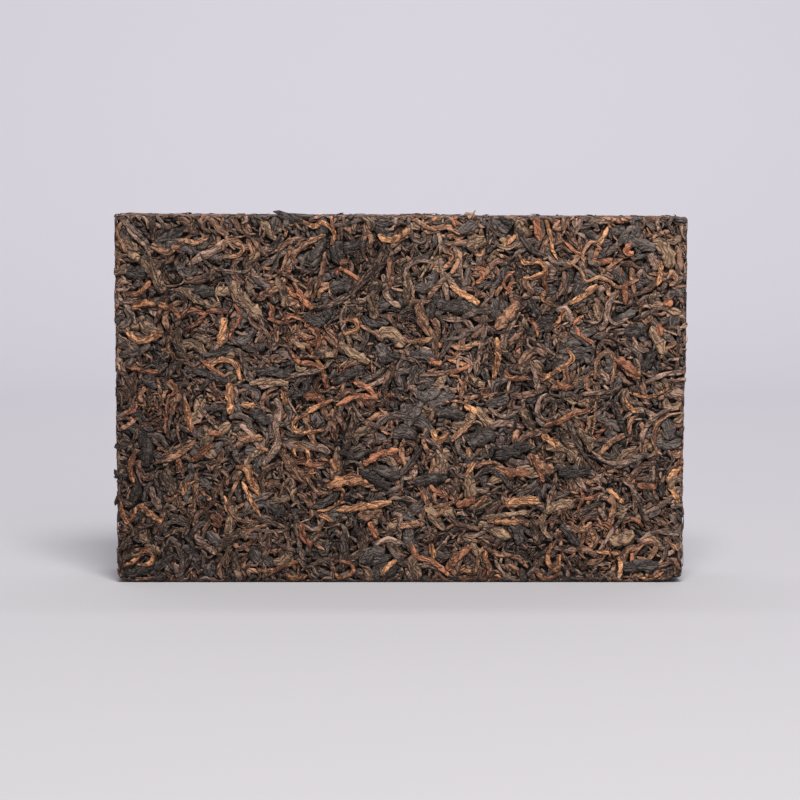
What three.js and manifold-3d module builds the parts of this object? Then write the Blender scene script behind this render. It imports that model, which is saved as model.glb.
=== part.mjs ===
// A brick of pressed ripe tea, standing on one long edge.
// Its packed mass is a worn slab with lumpy faces. The largest of the twisted leaves that
// show on it are fused on at their true size, flat against where the wall of the press was.
// Millimetres. +X runs along the brick, -Y is the face seen from the front, +Z is up,
// and the origin is the middle of the edge that the brick stands on.
import * as THREE from "three";
import { mergeVertices } from "three/addons/utils/BufferGeometryUtils.js";
import Module from "manifold-3d";

const wasm = await Module();
wasm.setup();

// The inside of the press, which gives the brick its size
const SIZE = { x: 140, y: 25, z: 90.5 };
const AXES = ["x", "y", "z"];
const FINEST = 0.002; // corners of the finished solid that lie closer than this are merged

// The packed mass behind the outer leaves
const CORE_DEPTH = 0.6; // below the wall of the press, where the mass stands highest
const CORE_LUMP = 0.7; // how much further in its hollows lie
const CORE_CELLS = { x: 18, y: 4, z: 11 }; // how many lumps it has each way
const BASE_LIFT = [0.1, 0.6]; // of the outer lumps of the edge it stands on
const REST_LAND = { x: 63, y: 7 }; // half size of the flat land along the middle of that edge

// Wear: each worn corner in the front view, with how far along it reaches and what it lost
const EDGE_ROUND = 0.6;
const WORN_CORNERS = [
  { x: 1, z: -1, reach: 5.5, bite: 1.7 },
  { x: -1, z: -1, reach: 4, bite: 1.1 },
  { x: 1, z: 1, reach: 3, bite: 0.4 },
  { x: -1, z: 1, reach: 2.5, bite: 0.3 },
];

// The outer leaves, as [least, most]
const LEAF_SHARE = 162; // one leaf for each this many square millimetres of a face
const LEAF_WIDTH = [2.2, 3.6]; // across its underside, sunk in the mass
const LEAF_BACK_DEPTH = [0, 0.3]; // of a leaf's back, below the wall of the press
const LEAF_HEIGHT = 1.7; // from its underside to its back
const BLUNT_END = 0.4; // how thick a leaf is at its ends, as a share of its middle
const TRIES = 12; // ways tried to lay each leaf, of which the one with the most room is taken

// Their shapes: how common each is, its length, how far it turns along its length in degrees,
// and how many cross-sections it has between its ends
const LEAF_SHAPES = [
  { share: 0.6, length: [8, 14], bend: [8, 35], rings: 1 },
  { share: 0.27, length: [11, 17], bend: [45, 110], rings: 2 },
  { share: 0.13, length: [12, 16], bend: [150, 250], rings: 4 },
];

// Two leaves that stand out of the top edge: the place of the middle, length, lift and turn
const PROUD_LEAVES = [
  { x: -28.5, y: -10.8, length: 7, width: 3, rise: 0.15, tilt: -0.1 },
  { x: 17.2, y: -10.6, length: 4.6, width: 2.2, rise: 0.4, tilt: 0.15 },
];

// A seeded generator of numbers from 0 to 1 (mulberry32), so that every run gives one brick
function seeded(seed) {
  let state = seed;
  return () => {
    state = (state + 0x6d2b79f5) | 0;
    let t = Math.imul(state ^ (state >>> 15), 1 | state);
    t = (t + Math.imul(t ^ (t >>> 7), 61 | t)) ^ t;
    return ((t ^ (t >>> 14)) >>> 0) / 4294967296;
  };
}

const random = seeded(38);
const between = ([least, most]) => least + (most - least) * random();

// Draws a point in where the brick's edges are rounded and its corners are worn.
function wornIn(p) {
  const half = { x: SIZE.x / 2, y: SIZE.y / 2, z: SIZE.z / 2 };
  const out = { x: p.x, y: p.y, z: p.z - half.z };
  for (const corner of WORN_CORNERS) {
    const alongX = half.x - corner.x * out.x;
    const alongZ = half.z - corner.z * out.z;
    const near = Math.max(0, 1 - Math.max(0, alongX + alongZ) / corner.reach);
    out.x -= corner.x * corner.bite * near;
    out.z -= corner.z * corner.bite * near;
  }
  for (const [a, b] of [["x", "y"], ["y", "z"], ["z", "x"]]) {
    const inA = half[a] - Math.abs(out[a]);
    const inB = half[b] - Math.abs(out[b]);
    const near = Math.max(0, 1 - Math.max(0, inA + inB) / (3 * EDGE_ROUND));
    out[a] -= Math.sign(out[a]) * 0.5 * EDGE_ROUND * near;
    out[b] -= Math.sign(out[b]) * 0.5 * EDGE_ROUND * near;
  }
  return new THREE.Vector3(out.x, out.y, out.z + half.z);
}

// A geometry of positions alone, with its shared corners merged
function bare(geometry) {
  geometry.deleteAttribute("normal");
  geometry.deleteAttribute("uv");
  return mergeVertices(geometry, 1e-4);
}

function toSolid(geometry) {
  return new wasm.Manifold(
    new wasm.Mesh({
      numProp: 3,
      vertProperties: new Float32Array(geometry.attributes.position.array),
      triVerts: new Uint32Array(geometry.index.array),
    }),
  );
}

// The packed mass: a box whose faces are drawn in below the wall of the press, unevenly
function packedMass() {
  const sizes = AXES.map((axis) => SIZE[axis]);
  const cells = AXES.map((axis) => CORE_CELLS[axis]);
  const box = bare(new THREE.BoxGeometry(...sizes, ...cells));
  box.translate(0, 0, SIZE.z / 2);
  const position = box.attributes.position;
  for (let i = 0; i < position.count; i++) {
    const p = new THREE.Vector3().fromBufferAttribute(position, i);
    const inLand = Math.abs(p.x) < REST_LAND.x && Math.abs(p.y) < REST_LAND.y;
    if (inLand && p.z < 1e-3) continue;
    const centred = { x: p.x, y: p.y, z: p.z - SIZE.z / 2 };
    const lump = random();
    for (const axis of AXES) {
      const side = Math.sign(centred[axis]);
      if (Math.abs(Math.abs(centred[axis]) - SIZE[axis] / 2) > 1e-3) {
        p[axis] += ((random() - 0.5) * 0.5 * SIZE[axis]) / CORE_CELLS[axis];
      } else if (axis === "z" && side < 0) {
        p.z += between(BASE_LIFT);
      } else {
        p[axis] -= side * (CORE_DEPTH + CORE_LUMP * lump);
      }
    }
    position.setXYZ(i, ...wornIn(p).toArray());
  }
  return toSolid(box);
}

// One leaf lying in the XY plane: a cylinder of three sides with one edge up, its back, drawn
// out along a curve and tapered to both ends. Its back is at height 0.
function leafGeometry(curve, width, rings) {
  const blank = bare(new THREE.CylinderGeometry(1, 1, 1, 3, rings + 1));
  const position = blank.attributes.position;
  for (let i = 0; i < position.count; i++) {
    const along = THREE.MathUtils.clamp(position.getY(i) + 0.5, 0, 1);
    const thick = along < 1e-3 || along > 1 - 1e-3 ? BLUNT_END : 1;
    const place = curve.getPoint(along);
    const tangent = curve.getTangent(along);
    const across = (Math.sign(position.getX(i)) * thick * width) / 2;
    const up = position.getZ(i) > 0 ? 0.3 * (thick - 1) : -LEAF_HEIGHT;
    position.setXYZ(i, place.x + tangent.y * across, place.y - tangent.x * across, up);
  }
  return blank;
}

function pickShape() {
  let left = random();
  return LEAF_SHAPES.find((shape) => (left -= shape.share) < 0) ?? LEAF_SHAPES[0];
}

// A way to lay a leaf on a face: an arc, turned and placed at random, and then brought in as
// far as the wall of the press would bring it
function laidLeaf(half) {
  const { length, bend, rings } = pickShape();
  const width = between(LEAF_WIDTH);
  const angle = THREE.MathUtils.degToRad(between(bend));
  const long = Math.min(between(length), 1.7 * half.y);
  const start = random() * 2 * Math.PI;
  const curve = new THREE.ArcCurve(0, 0, long / angle, start, start + angle, false);
  const box = new THREE.Box2().setFromPoints(curve.getPoints(8)).expandByScalar(width / 2);
  const size = box.getSize(new THREE.Vector2());
  const room = half.clone().sub(size.divideScalar(2)).max(new THREE.Vector2());
  const place = new THREE.Vector2(half.x * (2 * random() - 1), half.y * (2 * random() - 1));
  place.clamp(room.clone().negate(), room).sub(box.getCenter(new THREE.Vector2()));
  curve.aX = place.x;
  curve.aY = place.y;
  return { width, rings, curve };
}

// The five faces that it shows standing: where each lies, and which way its length, breadth and outside run
function faces() {
  const { x, y, z } = SIZE;
  const up = z / 2;
  const face = (along, across, middle, right, ahead) => {
    const outside = new THREE.Vector3().crossVectors(right, ahead);
    const frame = new THREE.Matrix4().makeBasis(right, ahead, outside).setPosition(middle);
    return { half: new THREE.Vector2(along / 2, across / 2), frame };
  };
  const [X, Y, Z] = [0, 1, 2].map((i) => new THREE.Vector3().setComponent(i, 1));
  const at = (a, b, c) => new THREE.Vector3(a, b, c);
  return [
    face(x, z, at(0, -y / 2, up), X, Z),
    face(x, z, at(0, y / 2, up), X.clone().negate(), Z),
    face(x, y, at(0, 0, z), X, Y),
    face(y, z, at(x / 2, 0, up), Y, Z),
    face(y, z, at(-x / 2, 0, up), Y.clone().negate(), Z),
  ];
}

// The leaves of a face, each laid where it has the most room of a few ways tried, so that
// they spread evenly and seldom cross
function spreadOut(half) {
  const count = Math.round((4 * half.x * half.y) / LEAF_SHARE);
  const taken = [];
  const laid = [];
  while (laid.length < count) {
    let best = null;
    for (let k = 0; k < TRIES; k++) {
      const leaf = laidLeaf(half);
      const spots = leaf.curve.getPoints(4);
      const gaps = spots.flatMap((spot) => taken.map((t) => t.distanceTo(spot)));
      const room = gaps.reduce((least, gap) => Math.min(least, gap), Infinity);
      if (!best || room > best.room) best = { leaf, spots, room };
    }
    taken.push(...best.spots);
    laid.push(best.leaf);
  }
  return laid;
}

function leavesOn({ half, frame }) {
  return spreadOut(half).map(({ width, rings, curve }) => {
    const leaf = leafGeometry(curve, width, rings);
    leaf.translate(0, 0, -between(LEAF_BACK_DEPTH));
    return wornLeaf(leaf.applyMatrix4(frame));
  });
}

function wornLeaf(leaf) {
  const position = leaf.attributes.position;
  for (let i = 0; i < position.count; i++) {
    const p = new THREE.Vector3().fromBufferAttribute(position, i);
    position.setXYZ(i, ...wornIn(p).toArray());
  }
  return leaf;
}

// A leaf of the top edge that stands out of it a little
function proudLeaf({ x, y, length, width, rise, tilt }) {
  const ends = [-0.5, 0.5].map((side) => new THREE.Vector2(side * length, 0));
  const leaf = leafGeometry(new THREE.LineCurve(...ends), width, 1);
  leaf.rotateY(tilt);
  return leaf.translate(x, y, SIZE.z + rise);
}

function toGeometry(solid) {
  const mesh = solid.getMesh();
  return new THREE.BufferGeometry()
    .setAttribute("position", new THREE.BufferAttribute(mesh.vertProperties, mesh.numProp))
    .setIndex(new THREE.BufferAttribute(mesh.triVerts, 1));
}

// Moved so that the origin is the middle of the bottom of the brick's box
function settled(geometry) {
  geometry.computeBoundingBox();
  const middle = geometry.boundingBox.getCenter(new THREE.Vector3());
  geometry.translate(-middle.x, -middle.y, -geometry.boundingBox.min.z);
  return mergeVertices(geometry, FINEST);
}

// The mass and its leaves as one solid, with no loose scrap and no hollow sealed inside it:
// each of those is a body of its own, smaller than the brick, and is left out. Merging its
// corners can close another small hollow, so this is done until one body is left.
function brickGeometry() {
  const leaves = [...faces().flatMap(leavesOn), ...PROUD_LEAVES.map(proudLeaf)];
  let brick = leaves.reduce((whole, leaf) => whole.add(toSolid(leaf)), packedMass());
  let bodies = [];
  while (bodies.length !== 1) {
    bodies = toSolid(settled(toGeometry(brick))).decompose();
    brick = bodies.reduce((a, b) => (a.volume() > b.volume() ? a : b));
  }
  const geometry = toGeometry(brick);
  geometry.computeVertexNormals();
  return geometry;
}

const pressedTea = new THREE.MeshStandardMaterial({
  color: 0x4a3a32,
  roughness: 0.7,
  metalness: 0,
  flatShading: true,
});

const brick = new THREE.Mesh(brickGeometry(), pressedTea);
brick.name = "tea_brick";

const group = new THREE.Group();
group.add(brick);

export default group;
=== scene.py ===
"""A brick of pressed ripe tea, standing on one long edge.

Twisted leaves are laid one by one on each face of a dark core, where there is most room,
and are then pressed against the wall of the mould. Lengths are in millimetres until the
meshes are made, and every face is worked flat: u along it, v across it, h out of it.
"""

import math

import bpy
import numpy as np
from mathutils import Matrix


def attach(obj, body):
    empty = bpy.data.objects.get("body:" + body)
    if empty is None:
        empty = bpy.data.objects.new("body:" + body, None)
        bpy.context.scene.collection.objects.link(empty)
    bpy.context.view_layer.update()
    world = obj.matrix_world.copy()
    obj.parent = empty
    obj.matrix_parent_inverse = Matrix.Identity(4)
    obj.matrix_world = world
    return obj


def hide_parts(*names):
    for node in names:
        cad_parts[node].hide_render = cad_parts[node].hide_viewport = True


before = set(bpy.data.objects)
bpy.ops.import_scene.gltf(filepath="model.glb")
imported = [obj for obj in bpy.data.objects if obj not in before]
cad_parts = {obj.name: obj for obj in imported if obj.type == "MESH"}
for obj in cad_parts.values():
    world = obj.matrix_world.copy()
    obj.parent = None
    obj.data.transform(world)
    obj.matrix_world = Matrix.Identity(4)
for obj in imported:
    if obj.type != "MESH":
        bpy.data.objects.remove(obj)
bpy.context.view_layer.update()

MM = 0.001
SEED = 11
rng = np.random.default_rng(SEED)

# The brick's box
SIZE = np.array([140.5, 25.0, 90.6])

# Its edges: radius that leaves bend over, and the least of it, least and uneven wear, its share on each
# of the two faces, its reach and waves, and the extra wear of the long edges at the bottom
EDGE_BEND = 0.45
LEAST_BEND = 0.05
EDGE_ROUND = 0.2
EDGE_WEAR = 0.4
WEAR_EACH_WAY = 0.7
EDGE_REACH = 1.8
EDGE_WAVES = ((0.55, 1.1), (1.3, 2.3), (2.4, 3.1), (3.9, 4.7))
LOW_ROUND = 0.8

# How far leaves laid at an edge pass it, and how far each one stands below or above the wall
OVERHANG = 1.3
EDGE_LIFT = (-0.15, 0.4)

# The outline that is not square: how much the top falls to the right, and how much
# the right end draws in, from which height above the middle and over which stretch
LEAN = 0.35
DRAWN_IN = 0.4
DRAWN_FROM = 17
DRAWN_OVER = 25

# Bottom corners that are worn: side, how far along and how far up, and how much there
WORN_CORNERS = [(1, 5.2, 3.4, 0.5, 1.7), (-1, 2.8, 2.6, 0.8, 0.8)]

# The core: depth below the faces and at their edges, cell, roughness, and how wide its sloping rim is
CORE_DEPTH = 1.9
CORE_EDGE = 1.0
CORE_CELL = 1.6
CORE_ROUGH = 0.4
CORE_RIM = 3

# Pressing: how softly the wall stops a leaf, where it lies over the mean height of the leaves around,
# the cells over which that mean is taken, and how far, how fast and in how many waves the wall is uneven
PRESS_SOFT = 0.4
PRESS_AT = -0.25
PRESS_REACH = 6
WAVE = 0.09
WAVE_FASTEST = 0.13
WALL_WAVES = 4

# The grid on which leaves are laid, and the points along a leaf
CELL = 0.3
SAMPLES = 25

SHAPES = ("rod", "wave", "arc", "hook", "loop")
CURLED = ("hook", "loop")

# Names of the pieces
CHARCOAL = "charcoal_leaves"
SLATE = "slate_leaves"
UMBER = "umber_leaves"
BARK = "bark_leaves"
BROWN = "brown_leaves"
OLIVE = "olive_leaves"
RUSSET = "russet_leaves"
GOLDEN = "golden_buds"
STALK = "leaf_stalks"

# Kinds of leaf: share, length, width, thickness as a share of width, odds of each shape, the dark and
# light colour between which its leaves lie, and how much they are drawn to the patches of gold
KINDS = {
    CHARCOAL: dict(
        share=0.17, length=(5, 12), width=(0.9, 2.3), thick=(0.3, 0.48),
        odds=(0.34, 0.3, 0.24, 0.08, 0.04), dark=(23, 14, 11), light=(106, 88, 79)),
    SLATE: dict(
        share=0.1, length=(4, 9), width=(1.7, 3.8), thick=(0.16, 0.28),
        odds=(0.46, 0.3, 0.24, 0, 0), dark=(20, 14, 13), light=(95, 84, 79)),
    UMBER: dict(
        share=0.19, length=(5, 12), width=(0.9, 2.1), thick=(0.3, 0.5),
        odds=(0.32, 0.3, 0.25, 0.09, 0.04), dark=(36, 17, 9), light=(136, 100, 80)),
    BARK: dict(
        share=0.15, length=(5, 13), width=(0.9, 2.2), thick=(0.3, 0.48),
        odds=(0.32, 0.3, 0.22, 0.1, 0.06), dark=(44, 26, 18), light=(154, 123, 106)),
    BROWN: dict(
        share=0.16, length=(5, 12), width=(0.8, 2.1), thick=(0.3, 0.5),
        odds=(0.3, 0.28, 0.22, 0.12, 0.08), dark=(50, 26, 15), light=(163, 118, 90), pull=0.3),
    OLIVE: dict(
        share=0.07, length=(5, 10), width=(1.6, 3.6), thick=(0.2, 0.32),
        odds=(0.45, 0.3, 0.2, 0.05, 0), dark=(44, 29, 20), light=(150, 119, 94)),
    RUSSET: dict(
        share=0.08, length=(4, 10), width=(0.7, 1.8), thick=(0.3, 0.5),
        odds=(0.28, 0.27, 0.2, 0.17, 0.08), dark=(64, 30, 17), light=(168, 108, 77), pull=0.7),
    GOLDEN: dict(
        share=0.05, length=(4, 9), width=(0.8, 1.9), thick=(0.32, 0.5),
        odds=(0.35, 0.25, 0.15, 0.18, 0.07), dark=(92, 50, 28), light=(206, 149, 106), pull=0.9),
    STALK: dict(
        share=0.03, length=(7, 14), width=(0.45, 0.85), thick=(0.6, 0.8),
        odds=(0.45, 0.3, 0.15, 0.05, 0.05), dark=(62, 40, 30), light=(170, 136, 110)),
}
NAMES = list(KINDS)

# Layers, from the core out: face area for each leaf, ways tried to lay it, size of the leaves
LAYERS = [
    dict(name="under", area=14.0, tries=5, scale=1.0),
    dict(name="main", area=8.2, tries=8, scale=1.0),
    dict(name="edge", area=50.0, tries=14, scale=0.6, edge=True),
    dict(name="fill", area=24.0, tries=24, scale=0.45),
    dict(name="crumb", area=13.0, tries=30, scale=0.2),
]

# Share of the leaves in the edge layer that go to a corner
CORNER_SHARE = 0.15

# How much of each kind is left to chance on the front, where most gold leaves have their place,
# and how much of it breaks into pieces smaller than BROKEN_SCALE
FRONT_SHARE = {GOLDEN: 0.15, RUSSET: 0.45, BROWN: 0.8}
BROKEN_SHARE = {GOLDEN: 0.4, RUSSET: 0.5, OLIVE: 0.5, STALK: 0.5}
BROKEN_SCALE = 0.5

# Points of the middle line for each ring, and sides of a ring: for each layer, and for the main leaves
# that curl or are picked on the photograph, that lie on the back and that lie underneath
DETAIL = {"under": (6, 6), "main": (3, 9), "edge": (4, 7), "fill": (6, 6), "crumb": (12, 5)}
CURLED_DETAIL = (1, 8)
BACK_DETAIL = (4, 8)
BASE_DETAIL = (4, 7)

# A leaf is kept if more than SEEN_SHARE of it lies less than SEEN_DEPTH below the top of what is laid
SEEN_DEPTH = 0.06
SEEN_SHARE = 0.05

# Tint, from 0 for a kind's dark colour to 1 for its light one: mean and spread, how much darker a layer
# is, how much it changes along a leaf and with the patches of light, and how those grow along and up
# the front, a painted light that makes the front lighter towards its top and its right end
TINT = (0.46, 0.18)
SHADED = {"under": 0.15, "fill": 0.12, "crumb": 0.18}
TINT_ALONG = 0.5
LIGHT_TINT = 0.16
FRONT_PAINTED_LIGHT = (0.7 / 70, 0.8 / 45)

# Fastest waves of the patches of gold, of light, and of smaller clumps, in radians for each millimetre,
# how many waves make up each, and their phases
REGIONS = (("gold", 0.24), ("light", 0.2), ("clump", 0.75))
REGION_WAVES = 6
PHASES = (0, 6.28)

# The front in the photograph: pixels to its middle and to its top, pixels and millimetres between top
# and base, pixels for each millimetre along it at its middle height, and how many more at its top
FRONT_MIDDLE_PX = 401
FRONT_TOP_PX = 216.2
FRONT_HIGH_PX = 367
FRONT_HIGH = 90.5
PX_FOR_MM = 4.072
PX_GROWTH = 0.027

# Leaves that stand out on the front, picked on four enlarged quarters of the photograph: kind,
# width, tint, and the middle line's points in the quarter's own pixels
ENLARGED = 4
TOP_LEFT = [
    (CHARCOAL, 1.5, 0.15, [(772, 49), (808, 54), (850, 62)]),
    (BARK, 1.2, 0.55, [(165, 225), (145, 175), (105, 140), (72, 95), (82, 58), (115, 45), (145, 65),
        (155, 100)]),
    (OLIVE, 3.2, 0.5, [(130, 210), (165, 270), (215, 350)]),
    (BROWN, 1.3, 0.45, [(42, 75), (32, 130), (68, 198)]),
    (BROWN, 1.7, 0.5, [(165, 165), (225, 195), (270, 165), (325, 125)]),
    (BROWN, 1.5, 0.55, [(300, 150), (350, 155), (398, 125)]),
    (BROWN, 1.3, 0.5, [(455, 185), (462, 152), (500, 148), (532, 170), (520, 200), (475, 215)]),
    (BROWN, 1.3, 0.55, [(548, 140), (572, 190), (560, 222)]),
    (BARK, 0.9, 0.45, [(360, 200), (400, 245), (470, 270), (540, 270), (585, 232)]),
    (GOLDEN, 1.2, 0.4, [(702, 130), (715, 85), (760, 70), (820, 90), (850, 72), (895, 112), (888, 160)]),
    (BROWN, 1.6, 0.55, [(738, 240), (737, 200), (790, 155), (862, 122)]),
    (CHARCOAL, 1, 0.4, [(880, 88), (960, 75), (1050, 48)]),
    (CHARCOAL, 1.1, 0.25, [(1035, 58), (1110, 62), (1196, 78)]),
    (GOLDEN, 1.8, 0.3, [(1072, 122), (1112, 142), (1160, 130), (1196, 92)]),
    (BARK, 1.6, 0.35, [(1098, 150), (1075, 215), (1000, 318), (910, 385), (835, 412)]),
    (BROWN, 1.4, 0.45, [(1132, 190), (1115, 250), (1120, 335)]),
    (BROWN, 1.2, 0.5, [(862, 190), (850, 260), (828, 330), (808, 385)]),
    (BROWN, 1, 0.4, [(660, 265), (720, 290), (788, 338)]),
    (OLIVE, 2.3, 0.35, [(668, 290), (688, 350), (705, 405)]),
    (RUSSET, 1.7, 0.55, [(752, 338), (775, 385), (812, 412)]),
    (BROWN, 1.2, 0.6, [(835, 375), (840, 345), (885, 328), (880, 365)]),
    (GOLDEN, 1.6, 0.3, [(918, 232), (952, 226)]),
    (RUSSET, 1, 0.5, [(918, 252), (960, 275), (1002, 300)]),
    (OLIVE, 3.3, 0.4, [(488, 305), (510, 360), (560, 410), (602, 455)]),
    (OLIVE, 2, 0.55, [(278, 332), (330, 372), (400, 402), (442, 395)]),
    (GOLDEN, 1.4, 0.2, [(162, 308), (120, 355), (60, 360)]),
    (GOLDEN, 2, 0.15, [(86, 422), (120, 397), (185, 400)]),
    (GOLDEN, 1.6, 0.3, [(196, 400), (250, 420), (282, 452)]),
    (GOLDEN, 2, 0.4, [(68, 512), (125, 545), (206, 515)]),
    (GOLDEN, 2, 0.65, [(462, 452), (450, 500), (440, 558)]),
    (RUSSET, 1.1, 0.5, [(498, 400), (522, 450), (480, 520), (492, 552)]),
    (RUSSET, 1.2, 0.4, [(298, 502), (350, 472), (395, 430), (470, 428)]),
    (GOLDEN, 1.4, 0.55, [(402, 642), (450, 618), (502, 640), (520, 698)]),
    (RUSSET, 1.3, 0.6, [(362, 618), (410, 655), (462, 692)]),
    (SLATE, 1.7, 0.25, [(378, 602), (440, 590), (497, 573)]),
    (OLIVE, 1.9, 0.7, [(560, 715), (630, 703), (712, 716)]),
    (RUSSET, 1.3, 0.7, [(728, 590), (760, 630), (810, 635), (857, 652)]),
    (OLIVE, 1.2, 0.7, [(765, 608), (772, 575), (728, 543)]),
    (GOLDEN, 1.3, 0.5, [(942, 460), (982, 463), (986, 497), (936, 516)]),
    (BROWN, 1, 0.6, [(1000, 480), (1045, 505), (1092, 538)]),
    (OLIVE, 2.4, 0.95, [(918, 548), (970, 590), (1038, 628)]),
    (GOLDEN, 2.3, 0.35, [(478, 712), (482, 790), (482, 835)]),
    (GOLDEN, 1.5, 0.4, [(690, 738), (706, 800)]),
    (GOLDEN, 2.3, 0.15, [(775, 760), (860, 775)]),
    (GOLDEN, 1.5, 0.2, [(853, 662), (868, 732)]),
    (RUSSET, 1.4, 0.7, [(975, 708), (1030, 730), (1066, 772)]),
    (RUSSET, 1.3, 0.8, [(905, 800), (990, 765), (1072, 772)]),
    (RUSSET, 1.3, 0.55, [(60, 645), (120, 660), (192, 668)]),
    (BROWN, 1, 0.6, [(188, 690), (205, 755)]),
    (RUSSET, 1.1, 0.5, [(240, 700), (265, 735), (245, 765)]),
    (SLATE, 2.3, 0.15, [(582, 660), (650, 668), (722, 680)]),
    (BROWN, 2.1, 0.35, [(588, 378), (672, 335)]),
    (RUSSET, 1, 0.4, [(632, 455), (690, 472), (745, 462)]),
    (SLATE, 4, 0.2, [(880, 330), (965, 315)]),
    (OLIVE, 3.3, 0.4, [(1075, 300), (1050, 375), (1062, 455)]),
    (SLATE, 3, 0.2, [(60, 265), (140, 285)]),
    (CHARCOAL, 2, 0.3, [(40, 600), (110, 590), (160, 560)]),
    (SLATE, 2.6, 0.3, [(340, 345), (420, 350)]),
    (SLATE, 2, 0.12, [(330, 655), (400, 680), (470, 705)]),
    (OLIVE, 2.2, 0.3, [(1180, 250), (1190, 330), (1185, 400)]),
    (SLATE, 3.4, 0.2, [(780, 450), (860, 470)]),
]
LOW_LEFT = [
    (GOLDEN, 1.7, 0.35, [(303, 22), (315, 90), (326, 148)]),
    (BARK, 1.9, 0.5, [(660, 15), (682, 60), (662, 130), (672, 195), (615, 278)]),
    (GOLDEN, 1.2, 0.5, [(792, 78), (745, 93), (733, 128), (772, 150), (855, 138)]),
    (GOLDEN, 1.5, 0.35, [(765, 80), (820, 50), (888, 18)]),
    (GOLDEN, 1.1, 0.35, [(742, 245), (735, 212), (772, 208), (796, 242), (782, 285)]),
    (BROWN, 3, 0.35, [(695, 240), (730, 290), (775, 345)]),
    (GOLDEN, 3.2, 0.3, [(868, 368), (930, 345), (1052, 335)]),
    (GOLDEN, 1, 0.3, [(895, 380), (932, 375), (925, 420), (880, 455), (828, 466)]),
    (GOLDEN, 2, 0.4, [(908, 462), (1010, 447), (1126, 427)]),
    (BARK, 1.1, 0.6, [(968, 30), (998, 82), (1035, 125)]),
    (RUSSET, 2, 0.7, [(1015, 275), (1085, 235), (1155, 218)]),
    (BROWN, 1.8, 0.35, [(890, 55), (888, 110), (902, 182)]),
    (BROWN, 1.1, 0.6, [(502, 300), (512, 340), (480, 400), (480, 460), (520, 500), (590, 508)]),
    (GOLDEN, 2.2, 0.25, [(505, 288), (548, 300), (562, 340), (600, 402)]),
    (GOLDEN, 1.6, 0.35, [(528, 348), (568, 430), (604, 488)]),
    (GOLDEN, 1.7, 0.35, [(104, 222), (80, 290), (96, 352)]),
    (BROWN, 1.6, 0.7, [(180, 272), (265, 245), (342, 185)]),
    (GOLDEN, 1.7, 0.15, [(328, 265), (375, 222), (415, 198)]),
    (SLATE, 3.2, 0.2, [(125, 155), (152, 225), (138, 285)]),
    (OLIVE, 4, 0.35, [(215, 300), (255, 400)]),
    (GOLDEN, 1.2, 0.2, [(290, 402), (312, 342)]),
    (GOLDEN, 1.4, 0.35, [(40, 428), (62, 502), (90, 498), (104, 448)]),
    (GOLDEN, 1.6, 0.35, [(120, 438), (150, 470), (205, 508)]),
    (GOLDEN, 1.2, 0.55, [(42, 692), (100, 665), (140, 622), (172, 642), (158, 678), (110, 682)]),
    (OLIVE, 2.5, 0.4, [(428, 615), (480, 578), (524, 538)]),
    (BROWN, 1.1, 0.7, [(540, 582), (562, 545), (630, 518)]),
    (BARK, 0.9, 0.5, [(580, 540), (650, 548), (722, 538)]),
    (BARK, 1.2, 0.5, [(738, 518), (755, 590), (772, 665)]),
    (RUSSET, 1.9, 0.4, [(765, 512), (772, 560), (802, 608)]),
    (BROWN, 1, 0.5, [(845, 528), (820, 590), (858, 622)]),
    (BARK, 1.1, 0.6, [(885, 745), (892, 690), (850, 662), (814, 690), (835, 728)]),
    (GOLDEN, 1.2, 0.25, [(885, 690), (920, 738), (968, 715), (962, 678), (895, 662)]),
    (GOLDEN, 1.3, 0.5, [(1083, 722), (1110, 692), (1146, 660)]),
    (RUSSET, 1.6, 0.7, [(1038, 508), (1068, 572)]),
    (GOLDEN, 1.2, 0.2, [(630, 722), (690, 690), (752, 668)]),
    (GOLDEN, 1.5, 0.3, [(702, 718), (745, 738), (790, 722)]),
    (RUSSET, 1.4, 0.7, [(58, 72), (104, 60)]),
    (BROWN, 1.3, 0.7, [(38, 142), (75, 118), (112, 92)]),
    (GOLDEN, 2.2, 0.25, [(885, 255), (912, 305)]),
    (GOLDEN, 1.3, 0.35, [(838, 478), (895, 508)]),
    (GOLDEN, 1.7, 0.2, [(525, 36), (580, 44)]),
    (RUSSET, 1.5, 0.6, [(395, 152), (445, 155)]),
    (GOLDEN, 0.9, 0.3, [(585, 212), (630, 220)]),
    (SLATE, 3, 0.1, [(640, 440), (700, 480)]),
    (SLATE, 2.6, 0.15, [(180, 700), (250, 640)]),
    (SLATE, 3, 0.12, [(560, 60), (640, 110)]),
    (BROWN, 2, 0.4, [(520, 180), (610, 170)]),
    (RUSSET, 2, 0.35, [(410, 480), (440, 530)]),
    (OLIVE, 2, 0.35, [(640, 430), (720, 410)]),
    (SLATE, 2.8, 0.15, [(1000, 300), (1120, 370)]),
    (BARK, 1.2, 0.35, [(120, 120), (95, 180), (70, 230)]),
    (BROWN, 2.6, 0.45, [(990, 490), (1090, 470)]),
    (CHARCOAL, 1.5, 0.2, [(300, 560), (330, 620), (300, 690)]),
]
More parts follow.
